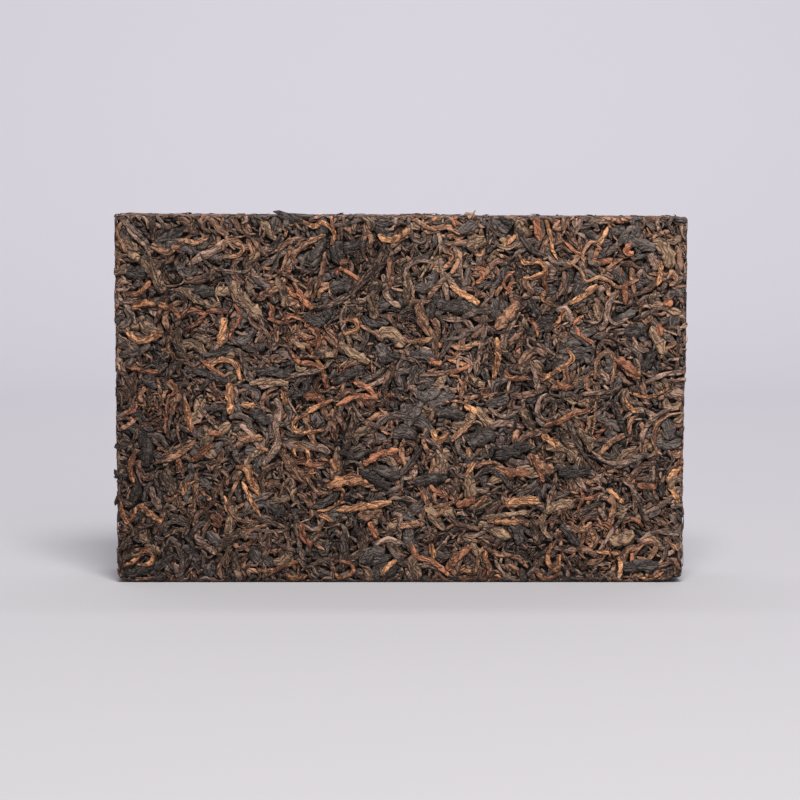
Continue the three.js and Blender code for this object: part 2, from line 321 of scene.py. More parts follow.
TOP_RIGHT = [
    (BROWN, 1.1, 0.75, [(955, 293), (880, 326), (835, 298), (790, 288), (745, 302), (716, 250),
        (668, 225)]),
    (BROWN, 1, 0.75, [(740, 250), (733, 195), (762, 148), (802, 145)]),
    (GOLDEN, 1.3, 0.3, [(478, 198), (500, 230), (560, 225), (582, 262), (535, 288), (495, 290)]),
    (GOLDEN, 1.2, 0.2, [(602, 250), (575, 300), (590, 332), (570, 372), (622, 402)]),
    (RUSSET, 2, 0.7, [(545, 48), (552, 95), (562, 142)]),
    (GOLDEN, 1.2, 0.4, [(582, 58), (605, 130), (610, 180), (632, 216)]),
    (GOLDEN, 1.8, 0.7, [(202, 322), (250, 352), (316, 392)]),
    (BROWN, 3.2, 0.7, [(385, 492), (430, 440), (475, 385)]),
    (GOLDEN, 2.1, 0.3, [(388, 528), (392, 610), (378, 692)]),
    (GOLDEN, 1.3, 0.35, [(566, 702), (640, 652), (692, 612), (668, 568)]),
    (BROWN, 1.2, 0.75, [(782, 692), (790, 620), (830, 583), (862, 620), (852, 702)]),
    (GOLDEN, 2.4, 0.2, [(868, 610), (910, 650), (962, 688)]),
    (GOLDEN, 1.6, 0.45, [(678, 392), (730, 362), (792, 318)]),
    (BARK, 1, 0.7, [(905, 390), (840, 382), (830, 430), (862, 470), (912, 450)]),
    (RUSSET, 1.1, 0.75, [(735, 438), (698, 470), (722, 512), (772, 548)]),
    (SLATE, 3.1, 0.3, [(878, 130), (950, 148), (1022, 175)]),
    (BARK, 2.6, 0.6, [(1002, 190), (1032, 255)]),
    (GOLDEN, 1, 0.35, [(918, 745), (1000, 765), (1082, 728)]),
    (SLATE, 3.6, 0.15, [(148, 395), (230, 405), (305, 425)]),
    (RUSSET, 1.3, 0.75, [(300, 255), (330, 258), (330, 292), (305, 310)]),
    (OLIVE, 4.6, 0.3, [(268, 170), (340, 130)]),
    (RUSSET, 0.9, 0.7, [(462, 262), (422, 290), (420, 325), (450, 332)]),
    (CHARCOAL, 1.6, 0.3, [(250, 445), (310, 425), (365, 425)]),
    (BROWN, 1.4, 0.5, [(85, 75), (120, 95), (190, 90), (240, 115)]),
    (BROWN, 1.3, 0.6, [(232, 178), (240, 215), (205, 275)]),
    (BARK, 1, 0.5, [(20, 300), (30, 250), (80, 225), (130, 230), (120, 262)]),
    (BROWN, 2.6, 0.4, [(85, 380), (80, 440), (125, 520)]),
    (BROWN, 1.5, 0.7, [(205, 560), (250, 570), (330, 545)]),
    (CHARCOAL, 1.2, 0.15, [(160, 540), (240, 525), (320, 480), (340, 440)]),
    (BARK, 1.3, 0.35, [(348, 470), (325, 560), (300, 680)]),
    (GOLDEN, 1.5, 0.3, [(418, 668), (450, 692), (522, 690)]),
    (BARK, 1.5, 0.6, [(528, 620), (545, 690), (560, 750)]),
    (SLATE, 2.2, 0.15, [(515, 375), (560, 440)]),
    (GOLDEN, 1.3, 0.25, [(658, 410), (645, 450), (615, 482)]),
    (RUSSET, 1.2, 0.6, [(628, 700), (650, 722), (684, 720)]),
    (OLIVE, 2, 0.6, [(780, 390), (800, 460)]),
    (RUSSET, 2.2, 0.6, [(868, 612), (915, 640), (950, 668)]),
    (RUSSET, 1.5, 0.7, [(905, 395), (900, 330), (915, 300)]),
    (GOLDEN, 1.4, 0.3, [(1042, 220), (1045, 270), (1030, 320)]),
    (BROWN, 1.4, 0.7, [(1070, 290), (1090, 262), (1105, 300), (1080, 318)]),
    (RUSSET, 2, 0.5, [(1055, 385), (1095, 392)]),
    (RUSSET, 1.6, 0.6, [(1035, 470), (1045, 520)]),
    (SLATE, 3.2, 0.2, [(900, 500), (990, 490)]),
    (CHARCOAL, 1.3, 0.3, [(770, 160), (760, 220), (800, 240)]),
    (GOLDEN, 1.4, 0.45, [(405, 165), (440, 145), (465, 120)]),
    (OLIVE, 1, 0.9, [(380, 152), (430, 172), (480, 152)]),
    (CHARCOAL, 1.6, 0.2, [(470, 90), (520, 170), (580, 200)]),
    (RUSSET, 1.6, 0.5, [(925, 150), (905, 185), (935, 192)]),
    (SLATE, 2.6, 0.2, [(40, 590), (110, 600), (160, 640)]),
    (BROWN, 1.3, 0.75, [(640, 60), (620, 90), (650, 95)]),
    (GOLDEN, 2, 0.2, [(70, 540), (100, 545)]),
    (RUSSET, 1.8, 0.7, [(120, 622), (165, 632)]),
    (BARK, 0.9, 0.6, [(230, 655), (240, 610), (285, 630), (275, 670)]),
]
LOW_RIGHT = [
    (GOLDEN, 1.5, 0.55, [(262, 38), (310, 68)]),
    (GOLDEN, 1.6, 0.3, [(130, 135), (152, 182), (198, 148)]),
    (BROWN, 1.6, 0.7, [(208, 182), (245, 145), (292, 100)]),
    (BARK, 1.1, 0.6, [(358, 48), (420, 85), (502, 42)]),
    (OLIVE, 2.7, 0.5, [(485, 55), (538, 135)]),
    (GOLDEN, 1.7, 0.2, [(578, 122), (640, 100), (700, 70), (765, 60)]),
    (GOLDEN, 2, 0.5, [(572, 158), (605, 180), (638, 205)]),
    (GOLDEN, 1.1, 0.4, [(272, 208), (282, 248)]),
    (GOLDEN, 1.3, 0.35, [(262, 325), (302, 268)]),
    (RUSSET, 2.3, 0.45, [(385, 290), (450, 308), (525, 312)]),
    (BROWN, 1, 0.7, [(322, 272), (380, 268), (425, 300)]),
    (SLATE, 4.6, 0.15, [(285, 180), (385, 150)]),
    (SLATE, 3.2, 0.12, [(385, 245), (525, 195)]),
    (BROWN, 2.7, 0.55, [(515, 240), (570, 280), (618, 305)]),
    (CHARCOAL, 1.1, 0.35, [(688, 150), (730, 220), (782, 290)]),
    (BROWN, 1.6, 0.7, [(798, 242), (850, 185), (905, 158)]),
    (BARK, 1.1, 0.5, [(948, 258), (890, 270), (830, 265), (775, 222)]),
    (BARK, 1.4, 0.45, [(1092, 48), (1020, 90), (980, 150), (970, 225)]),
    (BROWN, 1.3, 0.4, [(1078, 80), (1035, 112), (1020, 170), (1035, 240)]),
    (GOLDEN, 1.6, 0.4, [(1132, 285), (1092, 320), (1090, 360), (1122, 430)]),
    (GOLDEN, 2.7, 0.55, [(425, 432), (490, 425), (560, 420)]),
    (OLIVE, 2.4, 0.7, [(585, 470), (640, 438), (702, 436)]),
    (GOLDEN, 1.7, 0.35, [(352, 505), (420, 506), (484, 510)]),
    (OLIVE, 1.3, 0.6, [(328, 492), (400, 482), (525, 468)]),
    (OLIVE, 1.4, 0.95, [(588, 478), (572, 530), (612, 580)]),
    (GOLDEN, 1.5, 0.35, [(608, 595), (595, 660), (630, 702), (642, 640)]),
    (GOLDEN, 1.2, 0.4, [(542, 698), (588, 740), (645, 714)]),
    (GOLDEN, 1.2, 0.6, [(832, 372), (868, 400), (902, 434)]),
    (BARK, 1.3, 0.45, [(888, 330), (938, 370), (950, 475)]),
    (RUSSET, 1.9, 0.55, [(955, 360), (1032, 366)]),
    (RUSSET, 1.6, 0.85, [(44, 598), (72, 650), (130, 668), (196, 722)]),
    (GOLDEN, 1.7, 0.3, [(122, 598), (138, 655)]),
    (RUSSET, 2.1, 0.7, [(190, 702), (230, 650), (285, 610)]),
    (BROWN, 1.3, 0.75, [(338, 608), (400, 640), (470, 650), (515, 692)]),
    (BARK, 1.1, 0.7, [(380, 658), (420, 722), (465, 738)]),
    (BROWN, 1.6, 0.7, [(660, 528), (735, 540), (772, 510)]),
    (GOLDEN, 1.3, 0.75, [(878, 648), (890, 692), (880, 742)]),
    (BROWN, 1.5, 0.7, [(942, 642), (985, 590), (1032, 598), (1002, 662), (955, 650)]),
    (GOLDEN, 0.9, 0.4, [(948, 722), (1005, 742), (1062, 710)]),
    (BROWN, 1.2, 0.65, [(1062, 570), (1122, 622)]),
    (BARK, 1.1, 0.45, [(955, 588), (1030, 548), (1122, 560)]),
    (BROWN, 1.3, 0.55, [(88, 368), (112, 442)]),
    (GOLDEN, 1.1, 0.3, [(150, 485), (202, 432)]),
    (RUSSET, 2.1, 0.5, [(228, 442), (302, 418)]),
    (BROWN, 2, 0.55, [(0, 525), (80, 515)]),
    (GOLDEN, 1.5, 0.35, [(908, 5), (925, 45), (955, 65)]),
    (BARK, 1.1, 0.4, [(912, 468), (860, 540), (802, 622)]),
    (SLATE, 3, 0.12, [(60, 345), (190, 325)]),
    (SLATE, 2.4, 0.2, [(650, 520), (720, 600)]),
    (SLATE, 3.4, 0.15, [(640, 310), (770, 300)]),
    (SLATE, 3.2, 0.2, [(900, 690), (1040, 680)]),
    (SLATE, 3, 0.15, [(140, 60), (260, 80)]),
    (CHARCOAL, 1.8, 0.25, [(0, 320), (60, 250), (90, 200)]),
    (CHARCOAL, 1.6, 0.3, [(300, 330), (350, 300), (410, 320), (430, 350)]),
    (BARK, 2, 0.3, [(530, 500), (560, 600)]),
    (GOLDEN, 1.2, 0.3, [(300, 450), (350, 410)]),
    (RUSSET, 1.4, 0.6, [(530, 240), (580, 345)]),
    (BARK, 1.4, 0.4, [(800, 450), (830, 500)]),
]

# The quarters: pixels from the photograph's left and top edge, and the leaves picked there
QUARTERS = [
    ((110, 205), TOP_LEFT), ((110, 395), LOW_LEFT),
    ((400, 205), TOP_RIGHT), ((400, 395), LOW_RIGHT),
]

# Leaves that stick out past the front's outline: kind, width, tint, and points along, up and out
PROUD_LEAVES = [
    (SLATE, 1.9, 0.25, [(-24.2, 89.2, 0), (-26.4, 90.1, 0), (-28.6, 91.0, -0.1), (-31.0, 91.5, -0.2)]),
    (SLATE, 1.7, 0.3, [(-25.8, 89.1, 0), (-28.0, 90.0, 0), (-30.2, 90.6, -0.1)]),
    (BARK, 1.5, 0.55, [(18.2, 90.2, -0.9), (16.6, 90.8, -0.9), (15.0, 90.4, -0.9)]),
    (STALK, 0.5, 0.0, [(16.8, 90.2, -0.8), (17.7, 91.1, -0.8), (18.3, 91.9, -0.8)]),
    (SLATE, 2.4, 0.5, [(-67.2, 34.6, -0.4), (-69.4, 34.0, -0.5), (-70.5, 33.6, -0.7)]),
    (SLATE, 1.5, 0.1, [(-68.8, 25.8, -0.6), (-69.9, 26.8, -0.7), (-70.6, 28.1, -0.8)]),
    (SLATE, 1.2, 0.1, [(-68.6, 26.4, -0.6), (-69.9, 26.2, -0.7), (-70.8, 26.3, -0.8)]),
    (SLATE, 1.4, 0.2, [(-69.0, 21.8, -0.6), (-70.0, 20.6, -0.7), (-70.5, 19.2, -0.8)]),
]

# How wide those leaves are at their first and last point, for their width, and the steps that a smooth
# line takes between two points
PROUD_TAPER = (1.2, 0.5)
STEPS_BETWEEN = 12

# Middle lines: degrees that each shape bends and sways, how often it sways, the turn at a hook's end and
# where it starts, and the most kinks, their spread in degrees, place and span
BEND = {"rod": (0, 25), "wave": (0, 40), "arc": (50, 130), "hook": (0, 50), "loop": (190, 320)}
SWAY = {"rod": (0, 10), "wave": (20, 50), "arc": (0, 20), "hook": (0, 20), "loop": (0, 15)}
SWAYS = (0.6, 1.2)
HOOK_TURN = (110, 200)
HOOK_FROM = 0.6
MOST_KINKS = 2
KINK_TURN = 26
KINK_PLACE = (0.15, 0.85)
KINK_SPAN = 0.12

# Sizes: the usual width as shares of the least and the most, the scale above which a small leaf is wavy,
# a small leaf's least width, its growth with scale and the most for its length, and a curled leaf's
# most width and least length
USUAL_WIDTH = (0.6, 0.4)
WAVY_SCALE = 0.3
LEAST_WIDTH = 0.5
SMALL_WIDTH = (0.4, 0.4)
WIDEST = 0.8
CURLED_WIDTH = 0.44
CURLED_LENGTH = 8.0

# Outlines: width left at the tips, power and root of the curve, how much and how often it wavers, and
# the thickness at the tips and what the full width adds
BLUNT = (0.25, 0.75)
FULL = (2, 5)
FULL_ROOT = 0.7
WAVER = 0.14
WAVERS = (1, 2.4)
THICKNESS = (0.55, 0.45)

# Where a leaf lies: how much its highest point counts beside its mean, how it shrinks when the face is
# too small, the places across it that rest on the ground, its height over it in half thicknesses, the
# weights that smooth that, and the places across it where its top is taken
HIGHEST_COUNTS = 0.3
SHRINK = 0.85
UNDER = np.array([-0.7, 0, 0.7])[:, None]
REST = 0.55
REST_WEIGHTS = (1, 2, 3, 4, 3, 2, 1)
OVER = np.linspace(-0.95, 0.95, 9)[:, None]

# Folds of a ring: how much closer its points are over its back, its widest, most twist along the leaf,
# least and added depth of the grooves and their power, how much each uneven part adds, how the oval
# turns with the twist, the radians of the bumps along a leaf, and the range of phases
CLOSER = 0.15
WIDEST_FOLD = 1.08
TWIST = 5
GROOVE = (0.2, 0.3)
GROOVE_POWER = 1.6
UNEVEN = 0.1
OVAL_TURN = 1.4
BUMPS_ALONG = 9
ANY_PHASE = 6.3

# How far tips reach past the last rings, and for the UV map the way round a leaf in half widths and how
# far apart leaves lie
TIP_REACH = 0.25
GIRTH = 2.4
UV_JUMP = 400

# Shade: cells over which the leaves around are averaged, how far below them it starts, its most there
# and on a leaf's underside, where round the leaf that lies, and the light of tips
SKY_REACH = 5
SUNK_FROM = 0.1
SUNK_SHADE = 0.6
RIM_SHADE = 0.55
RIM_PLACE = (0.5, 0.55)
TIP_LIGHT = 0.6

# Leaf surface: noises, with waves across and along, detail, roughness and distortion, how steep creases
# and crumples are, how much each lightens the colour (creases are painted darker) and what that starts from,
# the painted shade that creases and crumples take and the light they leave, relief, sheen, the colour of the
# painted shade, darkest in crevices, and roughness over the fine noise
STRANDS = (0.9, 0.24, 2, 0.55, 0.9)
FINE = (1.7, 0.85, 4, 0.65, 0.6)
PATCHES = (0.4, 0.3, 2, 0.5)
CREASE_STEEP = 9.0
CRUMPLE_STEEP = 16.0
FINE_TINT = 1.9
CREASE_TINT = 0.4
TINT_SHIFT = 1.62
CREASE_LIGHT = (0.55, 0.45)
CRUMPLE_LIGHT = (0.3, 0.7)
CREASE_RELIEF = 0.6
LEAF_BUMP = (1.0, 0.55)
SHEEN = 0.35
SHEEN_COLOUR = (1, 0.92, 0.86, 1)
PAINTED_SHADE_TONE = (19, 8, 5)
NOISE_SPAN = (0.3, 0.7)
LEAF_ROUGH = (0.42, 0.7)

# Core surface: roughness, its noise, the two colours and the noise for each, and its relief. The colours are
# the dark inner leaf and, darker than any leaf, painted shade for the deep gaps where the core shows
CORE_ROUGHNESS = 0.85
CORE_GRAINS = 900
CORE_DETAIL = 3
CORE_DARK = (14, 10, 9)
CORE_LIGHT = (44, 32, 27)
CORE_SPAN = (0.35, 0.7)
CORE_BUMP = (0.8, 0.3)

# Floor and backdrop, in metres: half width, where the bend starts, its radius and angles, height, surface
SWEEP_HALF = 3.0
SWEEP_BACK = 0.5
SWEEP_BEND = 0.35
SWEEP_ANGLES = np.linspace(0.1, math.pi / 2, 12)
SWEEP_HIGH = 1.6
SWEEP_TONE = (144, 142.5, 146)
SWEEP_ROUGH = 0.9
SWEEP_SHEEN = 0.2

# Lights: name, place and aim in metres, size, power and colour
LIGHTS = [
    ("key", (0.08, -0.6, 0.95), (0, 0, 0.05), (0.45, 0.35), 22.6, (1, 0.985, 0.965)),
    ("fill", (0.35, -0.9, 0.55), (0, 0, 0.05), (0.6, 0.6), 4.2, (0.99, 0.99, 1)),
    ("back", (0, 0.42, 1.0), (0, 0.85, 0.66), (1.4, 0.5), 18.5, (0.93, 0.91, 1)),
]
SKY_COLOUR = (1, 0.985, 0.98)
SKY_STRENGTH = 0.32

# Camera: place in metres, degrees that it looks down, focal length and sensor in millimetres
CAMERA_PLACE = (-0.0002, -0.6234, 0.1012)
CAMERA_DOWN = 5.22
LENS = 112.4
SENSOR = 36


def tone(r, g, b):
    """A colour given as it looks on a screen, as linear values."""
    c = np.array([r, g, b]) / 255.0
    low, high = c / 12.92, ((c + 0.055) / 1.055) ** 2.4
    return (*np.where(c <= 0.04045, low, high), 1.0)


def smoothstep(t):
    t = np.clip(t, 0, 1)
    return t * t * (3 - 2 * t)


def box_face(middle, along, up, wide, high):
    """A face of the brick: its middle, its own ways of u, v and h as rows, and its half sizes."""
    basis = np.array([along, up, np.cross(along, up)])
    return dict(middle=np.array(middle), basis=basis, half=(wide / 2, high / 2))


X, Y, Z = np.eye(3)
LONG, DEEP, HIGH = SIZE
FRONT = box_face((0, -DEEP / 2, HIGH / 2), X, Z, LONG, HIGH)
BACK = box_face((0, DEEP / 2, HIGH / 2), -X, Z, LONG, HIGH)
TOP = box_face((0, 0, HIGH), X, Y, LONG, DEEP)
BASE = box_face((0, 0, 0), X, -Y, LONG, DEEP)
RIGHT = box_face((LONG / 2, 0, HIGH / 2), Y, Z, DEEP, HIGH)
LEFT = box_face((-LONG / 2, 0, HIGH / 2), -Y, Z, DEEP, HIGH)
FACES = (FRONT, BACK, TOP, BASE, RIGHT, LEFT)


def centre_line(shape, length):
    """A leaf's middle line on the plane, as complex numbers, from its length and shape."""
    s = np.linspace(0, 1, SAMPLES)
    heading = math.radians(rng.uniform(*BEND[shape])) * (s - 0.5)
    sway = rng.uniform(*SWAYS) * s + rng.random()
    heading = heading + math.radians(rng.uniform(*SWAY[shape])) * np.sin(2 * np.pi * sway)
    if shape == "hook":
        turn = math.radians(rng.uniform(*HOOK_TURN))
        heading = heading + turn * smoothstep((s - HOOK_FROM) / (1 - HOOK_FROM))
    for _ in range(rng.integers(0, MOST_KINKS + 1)):
        turn = math.radians(rng.normal(0, KINK_TURN))
        heading = heading + turn * smoothstep((s - rng.uniform(*KINK_PLACE)) / KINK_SPAN + 0.5)
    step = np.exp(1j * heading) * length / (SAMPLES - 1)
    line = np.concatenate([[0], np.cumsum(0.5 * (step[1:] + step[:-1]))])
    if rng.random() < 0.5:
        line = np.conj(line)
    return line - 0.5 * (line.real.max() + line.real.min()) - 0.5j * (line.imag.max() + line.imag.min())


def leaf_form(kind, width):
    """Half widths and half thicknesses along a leaf, with blunt ends and an uneven outline."""
    s = np.linspace(-1, 1, SAMPLES)
    blunt = rng.uniform(*BLUNT, 2)
    taper = np.where(s < 0, blunt[0], blunt[1])
    profile = taper + (1 - taper) * (1 - np.abs(s) ** rng.uniform(*FULL)) ** FULL_ROOT
    waver = 1 + WAVER * np.sin(2 * np.pi * (rng.uniform(*WAVERS) * s + rng.random()))
    half_width = 0.5 * width * profile * waver
    half_thick = 0.5 * width * rng.uniform(*KINDS[kind]["thick"]) * (THICKNESS[0] + THICKNESS[1] * profile)
    return half_width, half_thick


def new_leaf(kind, scale):
    """A leaf of the kind with a shape and size by chance, not yet laid anywhere."""
    spec = KINDS[kind]
    shape = SHAPES[rng.choice(len(SHAPES), p=np.array(spec["odds"]) / sum(spec["odds"]))]
    narrow, wide = spec["width"]
    short, long = spec["length"]
    width = rng.triangular(narrow, USUAL_WIDTH[0] * narrow + USUAL_WIDTH[1] * wide, wide)
    length = rng.triangular(short, (short + long) / 2, long)
    if scale < 1:
        shape = "wave" if scale > WAVY_SCALE else "rod"
        length = length * scale
        width = max(LEAST_WIDTH, width * (SMALL_WIDTH[0] + SMALL_WIDTH[1] * scale))
        width = min(width, WIDEST * length)
    elif shape in CURLED:
        width = min(width, CURLED_WIDTH * (narrow + wide))
        length = max(length, CURLED_LENGTH)
    half_width, half_thick = leaf_form(kind, width)
    line = centre_line(shape, length)
    return dict(kind=kind, shape=shape, line=line, half_width=half_width, half_thick=half_thick)


def curve_through(points):
    """A smooth line through the points, as SAMPLES complex numbers at even distances."""
    p = np.array([complex(*q) for q in points])
    p = np.concatenate([[2 * p[0] - p[1]], p, [2 * p[-1] - p[-2]]])
    t = np.linspace(0, 1, STEPS_BETWEEN, endpoint=False)[:, None]
    a, b, c, d = p[:-3], p[1:-2], p[2:-1], p[3:]
    curve = b + 0.5 * t * (c - a + t * (2 * a - 5 * b + 4 * c - d + t * (3 * (b - c) + d - a)))
    curve = np.append(curve.T.ravel(), p[-2])
    run = np.concatenate([[0], np.cumsum(np.abs(np.diff(curve)))])
    even = np.linspace(0, run[-1], SAMPLES)
    return np.interp(even, run, curve.real) + 1j * np.interp(even, run, curve.imag)


def sideways(path):
    """The way across a middle line at each of its points, as complex numbers of length one."""
    tangent = np.gradient(path)
    return 1j * tangent / np.abs(tangent)


def on_front(corner, x, y):
    """A point picked in an enlarged quarter, in millimetres from the front's middle, to a tenth."""
    left, top = corner
    v = FRONT_HIGH / 2 - (top + y / ENLARGED - FRONT_TOP_PX) * FRONT_HIGH / FRONT_HIGH_PX
    u = (left + x / ENLARGED - FRONT_MIDDLE_PX) / (PX_FOR_MM + PX_GROWTH * v / (FRONT_HIGH / 2))
    return round(u, 1), round(v, 1)


def proud_leaf(kind, width, tint, points):
    """A leaf that is not pressed or bent, on the front's own plane, and narrows to its last point."""
    half_width, half_thick = leaf_form(kind, width)
    path = curve_through([(x, z - FRONT["middle"][2]) for x, z, out in points])
    return dict(
        kind=kind, shape="picked", layer="edge", tint=tint, face=FRONT, proud=True, path=path,
        across=sideways(path), rise=curve_through([(x, out) for x, z, out in points]).imag,
        half_width=half_width * np.linspace(*PROUD_TAPER, SAMPLES), half_thick=half_thick)


def cells_at(points, face, grid):
    """The cells of a grid over the face that lie under the points."""
    iu = np.clip(((points.real + face["half"][0]) / CELL).astype(int), 0, grid.shape[0] - 1)
    iv = np.clip(((points.imag + face["half"][1]) / CELL).astype(int), 0, grid.shape[1] - 1)
    return iu, iv


def new_waves(fastest, count):
    """Waves over a face in ways by chance: radians for each millimetre of u and v, and phase."""
    return [(rng.uniform(-1, 1, 2) * fastest, rng.uniform(*PHASES)) for _ in range(count)]


def sum_of(waves, u, v):
    return sum(np.sin(k[0] * u + k[1] * v + phase) for k, phase in waves)


def region(face, u, v, what):
    """How much of something each part of a face has, from about -1 to 1."""
    waves = face["regions"][what]
    return sum_of(waves, u, v) / math.sqrt(len(waves))


def edge_spots(spot, half):
    """Moves places out past an edge, a long one more often, and some of them past a corner."""
    count = spot.shape[1]
    across_u = rng.random(count) < half[1] / half.sum()
    sign = np.sign(rng.uniform(-1, 1, count))
    corner = rng.random(count) < CORNER_SHARE
    return np.where([across_u | corner, ~across_u | corner], 2 * sign * half[:, None], spot)


def find_room(leaf, face, ground, layer):
    """Of some places for the leaf by chance, the one that lies lowest, as its middle line there."""
    half = np.array(face["half"])
    room = half + OVERHANG - leaf["half_width"].max()
    while True:
        turns = np.exp(1j * rng.uniform(0, 2 * np.pi, layer["tries"]))
        line = turns[:, None] * leaf["line"][None, :]
        reach = np.stack([line.real.max(1), line.imag.max(1)])
        fits = np.flatnonzero((reach < room[:, None]).all(0))
        if len(fits):
            break
        leaf["line"] = leaf["line"] * SHRINK
    line, reach = line[fits], reach[:, fits]
    spot = rng.uniform(-1, 1, reach.shape) * half[:, None]
    if layer.get("edge"):
        spot = edge_spots(spot, half)
    spot = np.clip(spot, reach - room[:, None], room[:, None] - reach)
    paths = line + (spot[0] + 1j * spot[1])[:, None]
    level = ground[cells_at(paths, face, ground)]
    pull = KINDS[leaf["kind"]].get("pull", 0)
    gold = region(face, paths.real.mean(1), paths.imag.mean(1), "gold")
    return paths[np.argmin(level.mean(1) + HIGHEST_COUNTS * level.max(1) - pull * gold)]


def shifted(values, reach):
    """The values with those up to reach places before and after them, as rows."""
    padded = np.pad(values, reach, mode="edge")
    return [padded[k:k + len(values)] for k in range(2 * reach + 1)]


def settle(leaf, path, face, ground):
    """Rests the leaf on what lies under its middle line, and adds it to the ground."""
    across = sideways(path)
    side = across[None, :] * leaf["half_width"] * UNDER
    under = ground[cells_at(path[None, :] + side, face, ground)].max(0)
    under = np.max(shifted(under, 1), axis=0)
    rows = shifted(under, len(REST_WEIGHTS) // 2)
    under = sum(weight * row for weight, row in zip(REST_WEIGHTS, rows)) / sum(REST_WEIGHTS)
    leaf.update(path=path, across=across, rise=under + REST * leaf["half_thick"], face=face)
    cells, top = leaf_top(leaf, face, ground)
    np.maximum.at(ground, cells, top)


def leaf_top(leaf, face, ground):
    """The cells that the leaf covers and how high it reaches in each."""
    old = np.arange(SAMPLES)
    fine = np.linspace(0, SAMPLES - 1, 2 * SAMPLES)
    path = np.interp(fine, old, leaf["path"].real) + 1j * np.interp(fine, old, leaf["path"].imag)
    across = np.interp(fine, old, leaf["across"].real) + 1j * np.interp(fine, old, leaf["across"].imag)
    width, rise, thick = (np.interp(fine, old, leaf[key]) for key in ("half_width", "rise", "half_thick"))
    cells = cells_at(path[None, :] + across * width * OVER, face, ground)
    return cells, rise[None, :] + thick[None, :] * np.sqrt(1 - OVER * OVER)


def blurred(grid, reach):
    """A grid averaged over a square of 2 reach + 1 cells, along each way in turn."""
    width = 2 * reach + 1
    for axis in (0, 1):
        padded = np.pad(grid, [(reach + 1, reach) if a == axis else (0, 0) for a in (0, 1)], mode="edge")
        total = np.cumsum(padded, axis=axis)
        high = np.take(total, range(width, total.shape[axis]), axis=axis)
        low = np.take(total, range(0, total.shape[axis] - width), axis=axis)
        grid = (high - low) / width
    return grid


def lay_picked_leaves(ground):
    """The leaves picked on the photograph, laid on the front where they are there."""
    laid = []
    for corner, rows in QUARTERS:
        for kind, width, tint, points in rows:
            half_width, half_thick = leaf_form(kind, width)
            leaf = dict(kind=kind, shape="picked", layer="main", tint=tint)
            leaf.update(half_width=half_width, half_thick=half_thick)
            settle(leaf, curve_through([on_front(corner, *point) for point in points]), FRONT, ground)
            laid.append(leaf)
    return laid


def lay_layer(layer, face, ground):
    """Leaves of one layer by chance, in the mix of kinds that the face has."""
    fewer = FRONT_SHARE if face is FRONT else {}
    odds = np.array([KINDS[kind]["share"] * fewer.get(kind, 1) for kind in NAMES])
    if layer["scale"] < BROKEN_SCALE:
        odds = odds * np.array([BROKEN_SHARE.get(kind, 1) for kind in NAMES])
    count = int(4 * face["half"][0] * face["half"][1] / layer["area"])
    laid = []
    for pick in rng.choice(len(NAMES), size=count, p=odds / odds.sum()):
        leaf = new_leaf(NAMES[pick], layer["scale"])
        settle(leaf, find_room(leaf, face, ground, layer), face, ground)
        leaf["layer"] = layer["name"]
        laid.append(leaf)
    return laid


def shows(leaf, face, ground):
    """Whether enough of the leaf lies at the top of what is laid."""
    cells, top = leaf_top(leaf, face, ground)
    return (top > ground[cells] - SEEN_DEPTH).mean() > SEEN_SHARE


def leaves_on(face):
    """The leaves of one face that show, in the order laid, with their heights still unpressed."""
    face["regions"] = {what: new_waves(fastest, REGION_WAVES) for what, fastest in REGIONS}
    ground = np.zeros([int(2 * half / CELL) + 1 for half in face["half"]])
    laid = []
    for layer in LAYERS:
        if face is FRONT and layer["name"] == "crumb":
            laid += lay_picked_leaves(ground)
        laid += lay_layer(layer, face, ground)
    face["level"] = blurred(blurred(ground, PRESS_REACH), PRESS_REACH) + PRESS_AT
    face["skyline"] = blurred(ground, SKY_REACH)
    face["waves"] = new_waves(WAVE_FASTEST, WALL_WAVES)
    return [leaf for leaf in laid if shows(leaf, face, ground)]


def pressed(face, u, v, h):
    """Heights over the face once the wall has pressed the leaves, from heights over the core."""
    level = face["level"][cells_at(u + 1j * v, face, face["level"])]
    depth = PRESS_SOFT * np.logaddexp(0, (level - h) / PRESS_SOFT)
    return -depth - WAVE * (1 + sum_of(face["waves"], u, v) / WALL_WAVES)


def wear_corners(p, half):
    """Bites the worn corners away, from points round the brick's middle."""
    for side, reach_x, reach_z, bite_x, bite_z in WORN_CORNERS:
        along = np.maximum(0, half[0] - side * p[..., 0]) / reach_x
        up = np.maximum(0, half[2] + p[..., 2]) / reach_z
        near = np.clip(1 - along - up, 0, 1)
        p[..., 0] -= side * bite_x * near
        p[..., 2] += bite_z * near


def wear_edges(p, half):
    """Rounds the edges by an uneven amount, from points round the brick's middle."""
    for a, b, c in ((0, 1, 2), (1, 2, 0), (2, 0, 1)):
        gap = np.maximum(0, half[a] - np.abs(p[..., a]) + half[b] - np.abs(p[..., b]))
        near = np.clip(1 - gap / EDGE_REACH, 0, 1) ** 2
        own_phase = 2 * np.sign(p[..., a]) + 3 * np.sign(p[..., b])
        wave = sum(np.sin(k * p[..., c] + m * own_phase + c) for k, m in EDGE_WAVES)
        wear = WEAR_EACH_WAY * (EDGE_ROUND + EDGE_WEAR * np.maximum(0, wave / 3))
        p[..., a] -= np.sign(p[..., a]) * wear * near
        p[..., b] -= np.sign(p[..., b]) * wear * near


def worn(p):
    """Moves points where the edges are rounded, the corners worn and the outline is not square."""
    half = SIZE / 2
    out = p - [0, 0, half[2]]
    share = out[..., 0] / half[0]
    out[..., 2] -= LEAN * share * (out[..., 2] / half[2] + 1) / 2
    out[..., 0] -= DRAWN_IN * np.clip(share, 0, 1) * smoothstep((DRAWN_FROM - out[..., 2]) / DRAWN_OVER)
    low = np.maximum(0, half[1] - np.abs(out[..., 1]) + half[2] + out[..., 2])
    out[..., 1] -= np.sign(out[..., 1]) * LOW_ROUND * np.clip(1 - low / EDGE_REACH, 0, 1) ** 2
    wear_corners(out, half)
    wear_edges(out, half)
    out[..., 2] = np.maximum(out[..., 2], -half[2])
    return out + [0, 0, half[2]]


